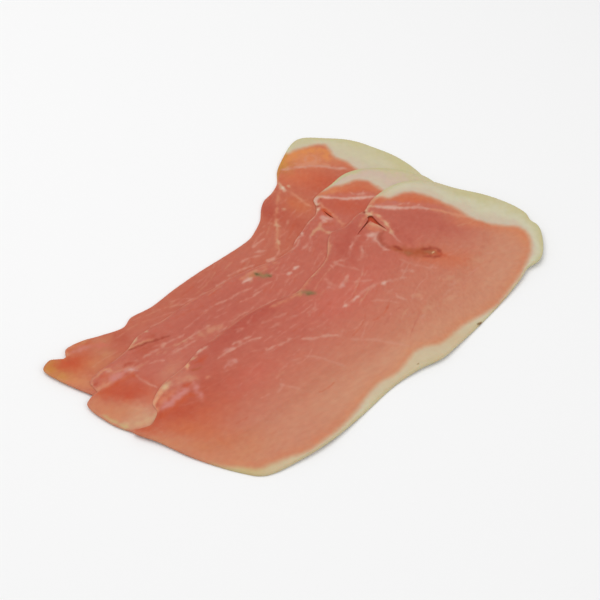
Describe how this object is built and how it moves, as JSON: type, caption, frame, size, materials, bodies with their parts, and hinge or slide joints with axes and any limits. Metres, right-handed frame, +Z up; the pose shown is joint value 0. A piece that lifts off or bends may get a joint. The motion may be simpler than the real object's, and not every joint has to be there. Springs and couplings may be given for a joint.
{
  "type": "sliced dry-cured ham",
  "caption": "Thin draped slices of dry-cured ham, shingled so that each overlaps the last, with a fat cap round the head, a ragged lean side and a small tongue at the tail.",
  "frame": {"origin": "middle of the three slices' box, on the surface they lie on", "axes": "+X from the thin tail of the slices to their fat head, +Y from the rind side to the lean side, +Z up"},
  "size_m": [0.2664, 0.1886, 0.0054],
  "materials": {
    "back_slice_meat": "moist, satin sheen: red lean, orange-pink head muscle, ivory fat",
    "middle_slice_meat": "moist, satin sheen: red lean, pale seams, ivory and pink fat",
    "front_slice_meat": "moist, satin sheen: red to peach lean, pale seams, ivory fat rim"
  },
  "bodies": {
    "root": {"slice_back": "back_slice_meat", "slice_middle": "middle_slice_meat", "slice_front": "front_slice_meat"}
  },
  "joints": []
}
